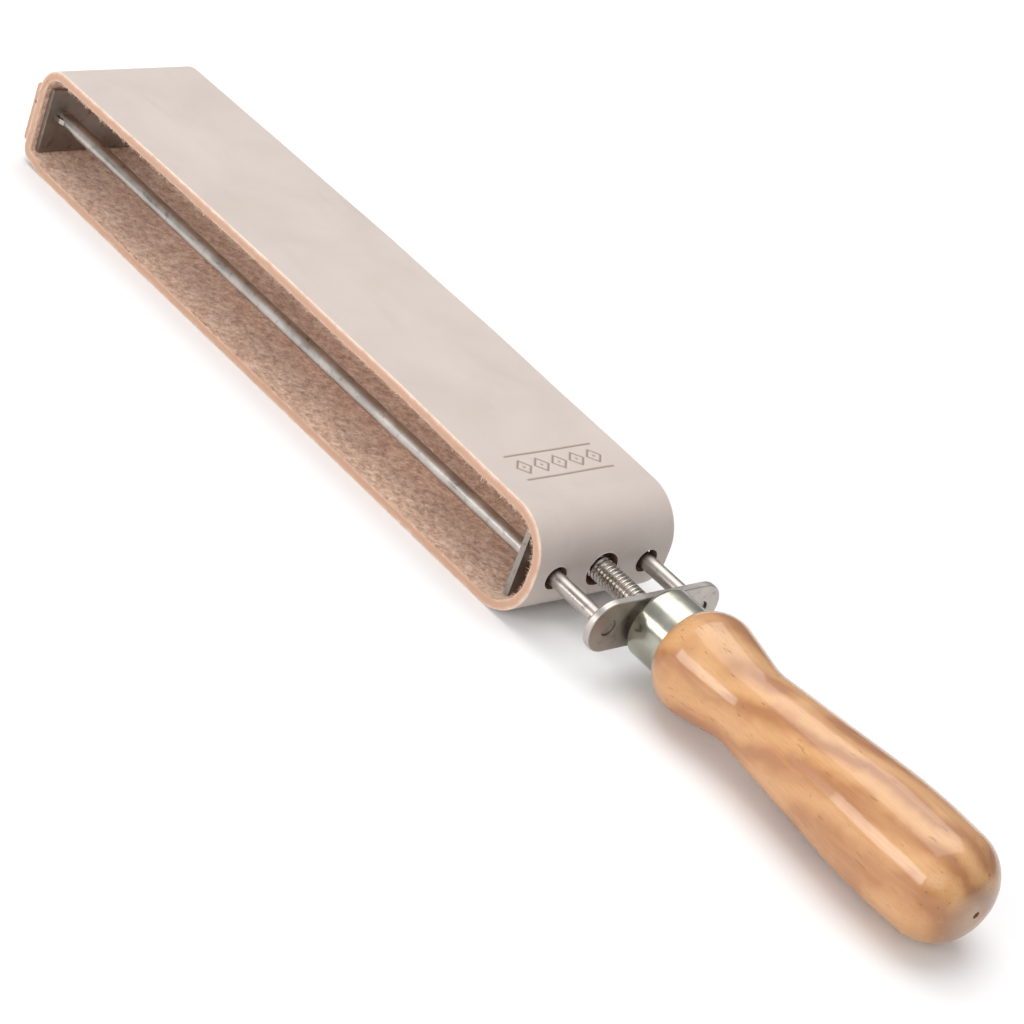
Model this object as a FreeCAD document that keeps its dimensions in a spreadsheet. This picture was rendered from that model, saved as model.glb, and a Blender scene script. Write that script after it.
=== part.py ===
import FreeCAD, Part
import math
import os
import Sketcher

# An adjustable loop strop: an endless leather band round two steel plates, opened out by a
# threaded spindle that is fixed in a turned wooden handle.
# Frame: millimetres, +Z up, +X from the far plate to the handle's butt, the origin under the
# middle of the object on the surface that the lower strap rests on.
# Along the frame, "station" is a distance in +X from the inner face of the far plate.

DRIVING_SIZES = (
    ("overall_length", 390.4, "far end of the splice patch to the butt of the handle"),
    ("strap_width", 50.0, "leather band, along Y"),
    ("strap_thickness", 3.0, "leather band"),
    ("leather_gap", 0.1, "leather to the far plate"),
    ("axis_height", 16.5, "rods and spindle above the lower strap's outer face"),
    ("near_apex_station", 241.2, "outermost leather at the handle end"),
    ("near_top_radius", 14.0, "outer bend of the band, handle end, upper"),
    ("near_bottom_radius", 15.4, "outer bend of the band, handle end, lower"),
    ("near_top_rise", 2.4, "centre of the upper bend above the axis"),
    ("bow_radius", 4600.0, "slight upward bow of the upper strap, outer face"),
    ("bow_station", 100.0, "highest point of the bow"),
    ("bow_rise", 18.1, "highest point of the bow above the axis"),
    ("far_top_radius", 9.7, "outer bend of the band over the far plate's upper edge"),
    ("far_top_rise", 7.7, "centre of the upper far bend above the axis"),
    ("far_bottom_radius", 4.2, "outer bend of the band round the far plate's lower edge"),
    ("far_bottom_drop", 10.8, "centre of the lower far bend below the axis"),
    ("sweep_radius", 20.0, "wider outer bend that leads into the lower strap"),
    ("sweep_station", 7.5, "where the wider bend meets the flat of the lower strap"),
    ("rod_hole_radius", 3.4, "punched holes in the leather for the rods"),
    ("spindle_hole_radius", 5.1, "punched hole in the leather for the spindle"),
    ("patch_thickness", 1.3, "leather patch over the splice"),
    ("patch_top", 9.2, "upper edge of the patch above the axis"),
    ("patch_bottom", 9.8, "lower edge of the patch below the axis"),
    ("patch_edge_radius", 0.3, "softened long edges of the patch"),
    ("plate_width", 46.0, "both plates, along Y"),
    ("plate_half_height", 10.7, "both plates, from the middle to the edge"),
    ("far_plate_thickness", 1.8, "far plate"),
    ("far_plate_drop", 1.2, "middle of the far plate below the rod axes"),
    ("far_edge_radius", 1.0, "far plate, outer edges that the leather bends over"),
    ("plate_edge_radius", 0.5, "plates, eased edges"),
    ("near_plate_station", 231.3, "inner face of the near plate, strap tight"),
    ("near_plate_thickness", 1.8, "near plate"),
    ("rod_diameter", 4.6, "plain steel rods"),
    ("rod_spacing", 33.6, "between the two rod axes"),
    ("running_gap", 0.08, "radial clearance of what slides or turns"),
    ("rivet_radius", 1.9, "rod spigot through the far plate"),
    ("rivet_head_radius", 2.8, "peened end, flush in its countersink"),
    ("rivet_head_depth", 0.9, "depth of the countersink"),
    ("ear_half_width", 2.95, "crimped ears of the rods, along Y"),
    ("ear_thickness", 1.5, "crimped ears, along Z"),
    ("ear_length", 3.4, "crimped ears, along X"),
    ("dent_radius", 1.5, "round jaw mark of the crimping tool"),
    ("dent_depth", 0.6, "depth of the jaw mark"),
    ("crossbar_station", 261.0, "inner face of the crossbar"),
    ("crossbar_thickness", 2.2, "crossbar"),
    ("crossbar_length", 47.6, "crossbar over its rounded ends, along Y"),
    ("crossbar_height", 15.6, "crossbar, along Z"),
    ("crossbar_hole_radius", 2.6, "holes for the rod ends"),
    ("crossbar_edge_radius", 0.45, "rolled edge of the crossbar"),
    ("rod_end_recess", 0.7, "rod end below the crossbar's outer face"),
    ("spindle_radius", 3.5, "thread crest and journal of the spindle"),
    ("thread_depth", 0.7, "thread crest to root"),
    ("thread_pitch", 1.25, "one turn of the handle moves the near plate this far"),
    ("spindle_start_station", 216.0, "inner end of the spindle"),
    ("thread_end_station", 260.0, "where the thread runs out into the journal"),
    ("tang_radius", 3.1, "spindle end held in the handle"),
    ("tang_depth", 42.0, "tang inside the wood"),
    ("spindle_chamfer", 0.6, "lead-in of the spindle's inner end"),
    ("nut_radius", 6.2, "flange of the threaded boss"),
    ("nut_length", 4.4, "boss behind the near plate"),
    ("nut_spigot_radius", 4.8, "boss spigot riveted into the near plate"),
    ("nut_chamfer", 0.5, "boss, turned edge"),
    ("washer_gap", 0.1, "washer to the crossbar"),
    ("washer_thickness", 0.9, "thrust washer"),
    ("washer_radius", 8.6, "thrust washer"),
    ("ferrule_length", 11.2, "washer to the shoulder of the wood"),
    ("ferrule_radius", 10.65, "ferrule, outside"),
    ("ferrule_wall", 1.0, "ferrule, wall and front"),
    ("ferrule_edge", 1.1, "rounded front edge of the ferrule"),
    ("bulge_station", 8.6, "front bulge of the handle behind its shoulder"),
    ("bulge_radius", 14.7, "handle at the front bulge"),
    ("bulge_curve", 12.0, "profile curve of the front bulge"),
    ("neck_station", 26.9, "neck behind the shoulder"),
    ("neck_radius", 11.6, "handle at the neck"),
    ("neck_curve", 20.0, "hollow profile curve of the neck"),
    ("swell_station", 84.0, "palm swell behind the shoulder"),
    ("swell_radius", 15.85, "handle at the palm swell"),
    ("swell_curve", 190.0, "profile curve of the palm swell"),
    ("butt_curve", 12.9, "rounding into the butt"),
    ("butt_flat_radius", 2.65, "flat of the butt"),
    ("centre_hole_radius", 1.0, "lathe centre hole in the butt"),
    ("centre_hole_depth", 6.0, "lathe centre hole in the butt"),
)

SHEET_NAME = "Dims"
NEAR_ZERO = 1e-9
POINT_START = 1
POINT_END = 2
POINT_CENTRE = 3
H_AXIS = -1
V_AXIS = -2
THROUGH_ALL = 1
LARGEST_NAME = 60
FULL_TURN = 2 * math.pi


class Size:
    """A length together with the spreadsheet expression that gives it."""

    def __init__(self, value, text):
        self.value = float(value)
        self.text = text

    def combine(self, other, sign, value):
        return Size(value, "(" + self.text + sign + other.text + ")")

    def __add__(self, other):
        other = as_size(other)
        return self.combine(other, " + ", self.value + other.value)

    def __sub__(self, other):
        other = as_size(other)
        return self.combine(other, " - ", self.value - other.value)

    def __mul__(self, other):
        other = as_size(other)
        return self.combine(other, " * ", self.value * other.value)

    def __truediv__(self, other):
        other = as_size(other)
        return self.combine(other, " / ", self.value / other.value)

    def __neg__(self):
        return Size(-self.value, "(0 - " + self.text + ")")


def as_size(number):
    if isinstance(number, Size):
        return number
    return Size(number, repr(float(number)))


class Dims:
    """The driving sizes by name, each a Size bound to its spreadsheet cell."""

    def __init__(self, doc):
        sheet = doc.addObject("Spreadsheet::Sheet", SHEET_NAME)
        for row, (alias, value, meaning) in enumerate(DRIVING_SIZES, start=1):
            sheet.set("A%d" % row, meaning)
            sheet.set("B%d" % row, str(value))
            sheet.setAlias("B%d" % row, alias)
            setattr(self, alias, Size(value, SHEET_NAME + "." + alias))


ZERO = as_size(0.0)


# ---- small sketch and feature helpers ---------------------------------------------------------

def new_body(doc, label, x, z, y=ZERO):
    body = doc.addObject("PartDesign::Body", label)
    body.Label = label
    for axis, size in (("x", x), ("y", y), ("z", z)):
        body.setExpression("Placement.Base." + axis, size.text)
    return body


def new_sketch(body, name, role):
    plane = [item for item in body.Origin.OriginFeatures if item.Role == role][0]
    sketch = body.newObject("Sketcher::SketchObject", body.Label + "_" + name)
    sketch.AttachmentSupport = [(plane, "")]
    sketch.MapMode = "FlatFace"
    return sketch


def bind(sketch, constraint, size):
    index = sketch.addConstraint(constraint)
    sketch.setExpression("Constraints[%d]" % index, size.text)


def pin_point(sketch, geo, point, x, y):
    """Holds a point at x, y in the sketch; either may be None to leave it free."""
    for size, kind, axis in ((x, "DistanceX", V_AXIS), (y, "DistanceY", H_AXIS)):
        if size is None:
            continue
        if abs(size.value) < NEAR_ZERO:
            sketch.addConstraint(Sketcher.Constraint("PointOnObject", geo, point, axis))
        else:
            bind(sketch, Sketcher.Constraint(kind, geo, point, size.value), size)


def vector(x, y):
    return FreeCAD.Vector(x.value, y.value, 0)


def add_line(sketch, start, end):
    return sketch.addGeometry(Part.LineSegment(start, end), False)


def join(sketch, geo_a, point_a, geo_b, point_b):
    sketch.addConstraint(Sketcher.Constraint("Coincident", geo_a, point_a, geo_b, point_b))


def add_polygon(sketch, points):
    """A closed polygon whose corners are all bound to the spreadsheet."""
    corners = [vector(x, y) for x, y in points]
    lines = [add_line(sketch, a, b) for a, b in zip(corners, corners[1:] + corners[:1])]
    for line, following in zip(lines, lines[1:] + lines[:1]):
        join(sketch, line, POINT_END, following, POINT_START)
    for line, (x, y) in zip(lines, points):
        pin_point(sketch, line, POINT_START, x, y)


def add_circle(sketch, x, y, radius):
    shape = Part.Circle(vector(x, y), FreeCAD.Vector(0, 0, 1), radius.value)
    geo = sketch.addGeometry(shape, False)
    pin_point(sketch, geo, POINT_CENTRE, x, y)
    bind(sketch, Sketcher.Constraint("Radius", geo, radius.value), radius)


def tangent_angle(first, second):
    """Outward normal of the line that touches two rounds, going round with the inside on the left.

    A round is (x, y, radius, side): side +1 bulges outwards, side -1 is hollow.
    """
    dx = second[0].value - first[0].value
    dy = second[1].value - first[1].value
    step = first[3] * first[2].value - second[3] * second[2].value
    return math.atan2(dy, dx) - math.acos(step / math.hypot(dx, dy))


def touch_point(item, angle):
    reach = item[3] * item[2].value
    x = item[0].value + reach * math.cos(angle)
    y = item[1].value + reach * math.sin(angle)
    return FreeCAD.Vector(x, y, 0)


def add_round(sketch, item, first_angle, last_angle):
    """One arc of a smooth outline; returns its index and its points of entry and exit."""
    x, y, radius, side = item
    turn = 0.0
    start, end = first_angle, last_angle
    entry, leave = POINT_START, POINT_END
    if side < 0:
        turn = math.pi
        start, end = last_angle, first_angle
        entry, leave = POINT_END, POINT_START
    while end < start:
        end += FULL_TURN
    circle = Part.Circle(vector(x, y), FreeCAD.Vector(0, 0, 1), radius.value)
    geo = sketch.addGeometry(Part.ArcOfCircle(circle, start + turn, end + turn), False)
    pin_point(sketch, geo, POINT_CENTRE, x, y)
    bind(sketch, Sketcher.Constraint("Radius", geo, radius.value), radius)
    return geo, entry, leave


def tie_tangent(sketch, geo_a, point_a, geo_b, point_b):
    sketch.addConstraint(Sketcher.Constraint("Tangent", geo_a, point_a, geo_b, point_b))


def add_belt(sketch, rounds):
    """A closed smooth outline round circles (x, y, radius), counter-clockwise, like a belt."""
    items = [(x, y, radius, 1) for x, y, radius in rounds]
    count = len(items)
    angles = [tangent_angle(items[i], items[(i + 1) % count]) for i in range(count)]
    arcs = [add_round(sketch, items[i], angles[i - 1], angles[i]) for i in range(count)]
    for i in range(count):
        following = (i + 1) % count
        start = touch_point(items[i], angles[i])
        end = touch_point(items[following], angles[i])
        line = add_line(sketch, start, end)
        tie_tangent(sketch, arcs[i][0], arcs[i][2], line, POINT_START)
        tie_tangent(sketch, line, POINT_END, arcs[following][0], arcs[following][1])


def pad(body, sketch, length, midplane=False):
    feature = body.newObject("PartDesign::Pad", sketch.Name + "_pad")
    feature.Profile = sketch
    feature.setExpression("Length", length.text)
    feature.Midplane = midplane
    return feature


def cut_through(body, sketch, midplane=True):
    feature = body.newObject("PartDesign::Pocket", sketch.Name + "_cut")
    feature.Profile = sketch
    feature.Type = THROUGH_ALL
    feature.Midplane = midplane
    feature.Reversed = not midplane
    return feature


def revolve(body, sketch):
    feature = body.newObject("PartDesign::Revolution", sketch.Name + "_turned")
    feature.Profile = sketch
    feature.ReferenceAxis = (sketch, ["H_Axis"])
    feature.Angle = 360.0
    return feature


def dress(body, doc, kind, wanted, size):
    """Fillet or chamfer the edges of the body that the test picks out."""
    doc.recompute()
    base = body.Tip
    names = ["Edge%d" % i for i, edge in enumerate(base.Shape.Edges, start=1) if wanted(edge)]
    feature = body.newObject("PartDesign::" + kind, body.Label + "_" + kind.lower())
    feature.Base = (base, names)
    feature.setExpression("Radius" if kind == "Fillet" else "Size", size.text)
    return feature


def is_at(value, target):
    return abs(value - target) < 1e-4


def is_circle_of(edge, radius):
    return isinstance(edge.Curve, Part.Circle) and is_at(edge.Curve.Radius, radius.value)


def turned_body(doc, label, x, y, z, points):
    body = new_body(doc, label, x, z, y)
    sketch = new_sketch(body, "profile", "XZ_Plane")
    add_polygon(sketch, points)
    revolve(body, sketch)
    return body


# ---- stations -----------------------------------------------------------------------------------

def far_face(d):
    """X of the far plate's inner face, from which the stations are measured."""
    stack = d.patch_thickness + d.strap_thickness + d.leather_gap + d.far_plate_thickness
    return stack - d.overall_length / 2


def washer_face(d):
    return far_face(d) + d.crossbar_station + d.crossbar_thickness + d.washer_gap


def ferrule_face(d):
    return washer_face(d) + d.washer_thickness


def shoulder(d):
    return ferrule_face(d) + d.ferrule_length


# ---- leather --------------------------------------------------------------------------------------

def band_rounds(d, inset):
    """The bends of the band seen from the side, all moved inwards by the inset."""
    near = far_face(d) + d.near_apex_station
    bow = far_face(d) + d.bow_station
    far = far_face(d) - d.far_plate_thickness - d.leather_gap - d.strap_thickness
    sweep = far_face(d) + d.sweep_station
    bends = [
        (near - d.near_bottom_radius, d.near_bottom_radius - d.axis_height, d.near_bottom_radius),
        (near - d.near_top_radius, d.near_top_rise, d.near_top_radius),
        (bow, d.bow_rise - d.bow_radius, d.bow_radius),
        (far + d.far_top_radius, d.far_top_rise, d.far_top_radius),
        (far + d.far_bottom_radius, -d.far_bottom_drop, d.far_bottom_radius),
        (sweep, d.sweep_radius - d.axis_height, d.sweep_radius),
    ]
    return [(x, z, radius - inset) for x, z, radius in bends]


def build_leather_band(doc, d):
    body = new_body(doc, "leather_band", ZERO, d.axis_height)
    outline = new_sketch(body, "outline", "XZ_Plane")
    add_belt(outline, band_rounds(d, ZERO))
    pad(body, outline, d.strap_width, midplane=True)
    hollow = new_sketch(body, "hollow", "XZ_Plane")
    add_belt(hollow, band_rounds(d, d.strap_thickness))
    cut_through(body, hollow)
    holes = new_sketch(body, "punched_holes", "YZ_Plane")
    for side in (-1, 1):
        add_circle(holes, d.rod_spacing / 2 * side, ZERO, d.rod_hole_radius)
    add_circle(holes, ZERO, ZERO, d.spindle_hole_radius)
    cut_through(body, holes, midplane=False)


def build_splice_patch(doc, d):
    outer = -d.overall_length / 2
    body = new_body(doc, "splice_patch", outer, d.axis_height)
    outline = new_sketch(body, "outline", "XZ_Plane")
    left, right = d.patch_edge_radius, d.patch_thickness - d.patch_edge_radius
    low, high = d.patch_edge_radius - d.patch_bottom, d.patch_top - d.patch_edge_radius
    corners = ((left, low), (right, low), (right, high), (left, high))
    add_belt(outline, [(x, y, d.patch_edge_radius) for x, y in corners])
    pad(body, outline, d.strap_width, midplane=True)


# ---- plates and crossbar ----------------------------------------------------------------------------

def plate_section(d, thickness, outer_radius, inner_radius):
    """Rounded section of a plate; its outer face is at 0 and its inner face at the thickness."""
    outer_reach = d.plate_half_height - outer_radius
    inner_reach = d.plate_half_height - inner_radius
    return [
        (outer_radius, -outer_reach, outer_radius),
        (thickness - inner_radius, -inner_reach, inner_radius),
        (thickness - inner_radius, inner_reach, inner_radius),
        (outer_radius, outer_reach, outer_radius),
    ]


def add_rod_holes(sketch, d, radius, rise=ZERO):
    for side in (-1, 1):
        add_circle(sketch, d.rod_spacing / 2 * side, rise, radius)


def build_far_plate(doc, d):
    outer = far_face(d) - d.far_plate_thickness
    body = new_body(doc, "far_plate", outer, d.axis_height - d.far_plate_drop)
    section = new_sketch(body, "section", "XZ_Plane")
    add_belt(section, plate_section(d, d.far_plate_thickness, d.far_edge_radius, d.plate_edge_radius))
    pad(body, section, d.plate_width, midplane=True)
    holes = new_sketch(body, "rivet_holes", "YZ_Plane")
    add_rod_holes(holes, d, d.rivet_radius, rise=d.far_plate_drop)
    cut_through(body, holes)
    flare = body.newObject("PartDesign::Chamfer", "far_plate_countersinks")
    doc.recompute()
    base = [item for item in body.Group if item.Name.endswith("_cut")][-1]
    names = []
    for number, edge in enumerate(base.Shape.Edges, start=1):
        if is_circle_of(edge, d.rivet_radius) and is_at(edge.CenterOfMass.x, 0.0):
            names.append("Edge%d" % number)
    flare.Base = (base, names)
    flare.ChamferType = 1
    flare.setExpression("Size", (d.rivet_head_radius - d.rivet_radius).text)
    flare.setExpression("Size2", d.rivet_head_depth.text)


def build_near_plate(doc, d):
    body = new_body(doc, "near_plate", far_face(d) + d.near_plate_station, d.axis_height)
    section = new_sketch(body, "section", "XZ_Plane")
    edge = d.plate_edge_radius
    add_belt(section, plate_section(d, d.near_plate_thickness, edge, edge))
    pad(body, section, d.plate_width, midplane=True)
    holes = new_sketch(body, "holes", "YZ_Plane")
    add_rod_holes(holes, d, d.rod_diameter / 2 + d.running_gap)
    add_circle(holes, ZERO, ZERO, d.nut_spigot_radius)
    cut_through(body, holes)


def build_crossbar(doc, d):
    body = new_body(doc, "crossbar", far_face(d) + d.crossbar_station, d.axis_height)
    outline = new_sketch(body, "outline", "YZ_Plane")
    end_radius = d.crossbar_height / 2
    reach = d.crossbar_length / 2 - end_radius
    add_belt(outline, [(-reach, ZERO, end_radius), (reach, ZERO, end_radius)])
    pad(body, outline, d.crossbar_thickness)
    holes = new_sketch(body, "holes", "YZ_Plane")
    add_rod_holes(holes, d, d.crossbar_hole_radius)
    add_circle(holes, ZERO, ZERO, d.spindle_radius + d.running_gap)
    cut_through(body, holes)

    def on_the_rim(edge):
        flat = is_at(edge.BoundBox.XLength, 0.0)
        straight = is_at(abs(edge.CenterOfMass.z), end_radius.value)
        return flat and (straight or is_circle_of(edge, end_radius))

    dress(body, doc, "Fillet", on_the_rim, d.crossbar_edge_radius)


# ---- rods -------------------------------------------------------------------------------------------

def add_ears(body, d, face, towards, name):
    """Two flat ears that the crimping tool squeezes out of the rod, with its marks above and below.

    The ears stand square against the plate at the given face and taper away from it.
    """
    half = d.ear_half_width
    rod_radius = d.rod_diameter / 2
    length = d.ear_length * towards
    outline = new_sketch(body, name, "XY_Plane")
    add_polygon(outline, [
        (face, -half), (face + length / 2, -half), (face + length, -rod_radius),
        (face + length, rod_radius), (face + length / 2, half), (face, half),
    ])
    pad(body, outline, d.ear_thickness, midplane=True)
    for side in (-1, 1):
        mark = body.newObject("PartDesign::SubtractiveCylinder", "%s_dent" % name)
        mark.setExpression("Radius", d.dent_radius.text)
        mark.setExpression("Height", d.rod_diameter.text)
        mark.Placement = FreeCAD.Placement(
            FreeCAD.Vector(0, 0, 0), FreeCAD.Rotation(FreeCAD.Vector(1, 0, 0), 90))
        height = (rod_radius + d.dent_radius - d.dent_depth) * side
        mark.setExpression("Placement.Base.x", (face + length / 2).text)
        mark.setExpression("Placement.Base.y", rod_radius.text)
        mark.setExpression("Placement.Base.z", height.text)


def build_rod(doc, d, label, side):
    """Riveted through the far plate at one end, standing in the crossbar at the other."""
    radius = d.rod_diameter / 2
    tip = d.crossbar_station + d.crossbar_thickness - d.rod_end_recess
    head = -d.far_plate_thickness
    body = turned_body(doc, label, far_face(d), d.rod_spacing / 2 * side, d.axis_height, [
        (head, ZERO), (tip, ZERO), (tip, radius), (ZERO, radius), (ZERO, d.rivet_radius),
        (head + d.rivet_head_depth, d.rivet_radius), (head, d.rivet_head_radius),
    ])
    add_ears(body, d, ZERO, 1, "far_ears")
    add_ears(body, d, d.crossbar_station, -1, "near_ears")


# ---- spindle group ----------------------------------------------------------------------------------

def build_spindle(doc, d):
    start = far_face(d) + d.spindle_start_station
    crest = d.spindle_radius
    journal_end = ferrule_face(d) + d.ferrule_wall - start
    tang_end = shoulder(d) + d.tang_depth - start
    body = turned_body(doc, "spindle", start, ZERO, d.axis_height, [
        (ZERO, ZERO), (tang_end, ZERO), (tang_end, d.tang_radius), (journal_end, d.tang_radius),
        (journal_end, crest), (d.spindle_chamfer, crest), (ZERO, crest - d.spindle_chamfer),
    ])
    groove = new_sketch(body, "thread", "XZ_Plane")
    # The cutter overlaps the crest a little and leaves a narrow land between turns.
    over = d.thread_depth / 10
    half_mouth = d.thread_pitch * 0.44
    root = crest - d.thread_depth
    first = -d.thread_pitch
    add_polygon(groove, [
        (first - half_mouth, crest + over), (first, root), (first + half_mouth, crest + over),
    ])
    thread = body.newObject("PartDesign::SubtractiveHelix", "spindle_thread_cut")
    thread.Profile = groove
    thread.ReferenceAxis = (groove, ["H_Axis"])
    thread.Mode = 0
    thread.setExpression("Pitch", d.thread_pitch.text)
    thread.setExpression("Height", (d.thread_end_station - d.spindle_start_station).text)


def build_spindle_nut(doc, d):
    """Turned boss: a flange behind the near plate and a spigot riveted flush through it."""
    bore = d.spindle_radius + d.running_gap
    start = far_face(d) + d.near_plate_station - d.nut_length
    end = d.nut_length + d.near_plate_thickness
    turned_body(doc, "spindle_nut", start, ZERO, d.axis_height, [
        (ZERO, bore), (end, bore), (end, d.nut_spigot_radius), (d.nut_length, d.nut_spigot_radius),
        (d.nut_length, d.nut_radius), (d.nut_chamfer, d.nut_radius), (ZERO, d.nut_radius - d.nut_chamfer),
    ])


def build_thrust_washer(doc, d):
    turned_body(doc, "thrust_washer", washer_face(d), ZERO, d.axis_height, [
        (ZERO, d.spindle_radius), (d.washer_thickness, d.spindle_radius),
        (d.washer_thickness, d.washer_radius), (ZERO, d.washer_radius),
    ])


def build_ferrule(doc, d):
    """A drawn steel cup: its front takes the spindle, its skirt holds the wood."""
    inner = d.ferrule_radius - d.ferrule_wall
    body = turned_body(doc, "ferrule", ferrule_face(d), ZERO, d.axis_height, [
        (ZERO, d.spindle_radius), (d.ferrule_wall, d.spindle_radius), (d.ferrule_wall, inner),
        (d.ferrule_length, inner), (d.ferrule_length, d.ferrule_radius), (ZERO, d.ferrule_radius),
    ])

    def front_rim(edge):
        return is_circle_of(edge, d.ferrule_radius) and is_at(edge.BoundBox.XMax, 0.0)

    dress(body, doc, "Fillet", front_rim, d.ferrule_edge)


def handle_rounds(d, butt):
    """Butt, palm swell, hollow neck and front bulge of the turned profile, from butt to front."""
    return [
        (butt - d.butt_curve, d.butt_flat_radius, d.butt_curve, 1),
        (d.swell_station, d.swell_radius - d.swell_curve, d.swell_curve, 1),
        (d.neck_station, d.neck_radius + d.neck_curve, d.neck_curve, -1),
        (d.bulge_station, d.bulge_radius - d.bulge_curve, d.bulge_curve, 1),
    ]


def add_handle_profile(sketch, d, butt):
    rounds = handle_rounds(d, butt)
    angles = [tangent_angle(a, b) for a, b in zip(rounds, rounds[1:])]
    bulge = rounds[-1]
    front_angle = math.pi - math.acos(bulge[0].value / bulge[2].value)
    front_height = as_size(bulge[1].value + bulge[2].value * math.sin(front_angle))
    limits = [0.0] + angles + [front_angle]
    arcs = [add_round(sketch, item, limits[i], limits[i + 1]) for i, item in enumerate(rounds)]
    for i, angle in enumerate(angles):
        line = add_line(sketch, touch_point(rounds[i], angle), touch_point(rounds[i + 1], angle))
        tie_tangent(sketch, arcs[i][0], arcs[i][2], line, POINT_START)
        tie_tangent(sketch, line, POINT_END, arcs[i + 1][0], arcs[i + 1][1])
    close_handle_profile(sketch, d, butt, arcs, front_height)


def close_handle_profile(sketch, d, butt, arcs, front_height):
    """Shoulder, tenon, bore for the spindle's tang and the small hole in the butt."""
    tenon = d.ferrule_radius - d.ferrule_wall
    tenon_front = d.ferrule_wall - d.ferrule_length
    centre_end = butt - d.centre_hole_depth
    bore_end = d.tang_depth
    points = [
        (ZERO, front_height), (ZERO, tenon), (tenon_front, tenon), (tenon_front, d.tang_radius),
        (bore_end, d.tang_radius), (bore_end, ZERO), (centre_end, ZERO),
        (centre_end, d.centre_hole_radius), (butt, d.centre_hole_radius), (butt, d.butt_flat_radius),
    ]
    corners = [vector(x, y) for x, y in points]
    lines = [add_line(sketch, a, b) for a, b in zip(corners, corners[1:])]
    for line, following in zip(lines, lines[1:]):
        join(sketch, line, POINT_END, following, POINT_START)
    pin_point(sketch, lines[0], POINT_START, ZERO, None)
    for line, (x, y) in list(zip(lines, points))[1:]:
        pin_point(sketch, line, POINT_START, x, y)
    join(sketch, arcs[-1][0], arcs[-1][2], lines[0], POINT_START)
    tie_tangent(sketch, lines[-1], POINT_END, arcs[0][0], arcs[0][1])


def build_handle(doc, d):
    body = new_body(doc, "handle", shoulder(d), d.axis_height)
    sketch = new_sketch(body, "profile", "XZ_Plane")
    add_handle_profile(sketch, d, d.overall_length / 2 - shoulder(d))
    revolve(body, sketch)


# ---- the whole strop ----------------------------------------------------------------------------------

def build(doc):
    d = Dims(doc)
    doc.recompute()
    build_leather_band(doc, d)
    build_splice_patch(doc, d)
    build_far_plate(doc, d)
    build_near_plate(doc, d)
    build_crossbar(doc, d)
    build_rod(doc, d, "rod_left", -1)
    build_rod(doc, d, "rod_right", 1)
    build_spindle(doc, d)
    build_spindle_nut(doc, d)
    build_thrust_washer(doc, d)
    build_ferrule(doc, d)
    build_handle(doc, d)
    doc.recompute()


def check(doc):
    for item in doc.Objects:
        bad = [word for word in item.State if word in ("Invalid", "Error")]
        if bad:
            raise RuntimeError("%s failed: %s" % (item.Name, ", ".join(bad)))


def export(doc):
    os.makedirs("parts", exist_ok=True)
    for body in doc.findObjects("PartDesign::Body"):
        shape = body.Shape
        if shape.isNull() or not shape.isValid() or len(shape.Solids) != 1:
            raise RuntimeError("%s has no sound single solid" % body.Label)
        if len(body.Label) >= LARGEST_NAME:
            raise RuntimeError("%s is too long a name" % body.Label)
        shape.exportStep(os.path.join("parts", body.Label + ".step"))
        box = shape.BoundBox
        print("%-14s volume %9.1f mm3  X %.2f..%.2f  Y %.2f..%.2f  Z %.2f..%.2f" % (
            body.Label, shape.Volume, box.XMin, box.XMax, box.YMin, box.YMax, box.ZMin, box.ZMax))


def main():
    doc = FreeCAD.newDocument("loop_strop")
    build(doc)
    check(doc)
    export(doc)


main()
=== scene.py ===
"""Looks of an adjustable loop strop: leather band, steel frame and a turned beech handle.

Metres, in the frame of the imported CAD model. Lengths named with _MM are in millimetres.
"""

import math
import random

import bpy
import numpy as np
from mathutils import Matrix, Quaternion, Vector


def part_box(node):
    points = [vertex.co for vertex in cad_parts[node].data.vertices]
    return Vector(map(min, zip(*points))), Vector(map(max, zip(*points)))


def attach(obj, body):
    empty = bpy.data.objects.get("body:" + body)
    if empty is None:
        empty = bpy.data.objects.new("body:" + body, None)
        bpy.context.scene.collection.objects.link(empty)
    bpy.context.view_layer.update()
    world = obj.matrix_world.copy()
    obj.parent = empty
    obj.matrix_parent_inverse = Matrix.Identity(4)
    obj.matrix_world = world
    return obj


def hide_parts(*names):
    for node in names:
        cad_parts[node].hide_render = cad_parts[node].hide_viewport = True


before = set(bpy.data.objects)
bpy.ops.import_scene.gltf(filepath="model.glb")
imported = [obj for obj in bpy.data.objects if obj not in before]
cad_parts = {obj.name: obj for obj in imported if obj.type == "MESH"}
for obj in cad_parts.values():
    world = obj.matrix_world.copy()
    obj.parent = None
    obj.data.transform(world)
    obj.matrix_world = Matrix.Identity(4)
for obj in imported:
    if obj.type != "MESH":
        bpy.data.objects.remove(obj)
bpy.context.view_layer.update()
MM = 0.001
FULL_TURN = 2 * math.pi

# ---- places read from the frame -------------------------------------------------------------------

BAND_LOW, BAND_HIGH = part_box("leather_band")
ROD_LOW, ROD_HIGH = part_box("rod_left")
PATCH_LOW, PATCH_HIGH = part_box("splice_patch")
AXIS_Z = (ROD_LOW.z + ROD_HIGH.z) / 2
FAR_FACE_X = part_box("far_plate")[1].x
BUTT_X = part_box("handle")[1].x
BAND_HALF_WIDTH = BAND_HIGH.y
ROD_Y = abs(ROD_LOW.y + ROD_HIGH.y) / 2

# ---- the leather band -----------------------------------------------------------------------------

THICKNESS_MM = 3.0
NEAR_X_MM = (BAND_HIGH.x - FAR_FACE_X) / MM
FAR_X_MM = (BAND_LOW.x - FAR_FACE_X) / MM
FLOOR_MM = -AXIS_Z / MM
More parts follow.
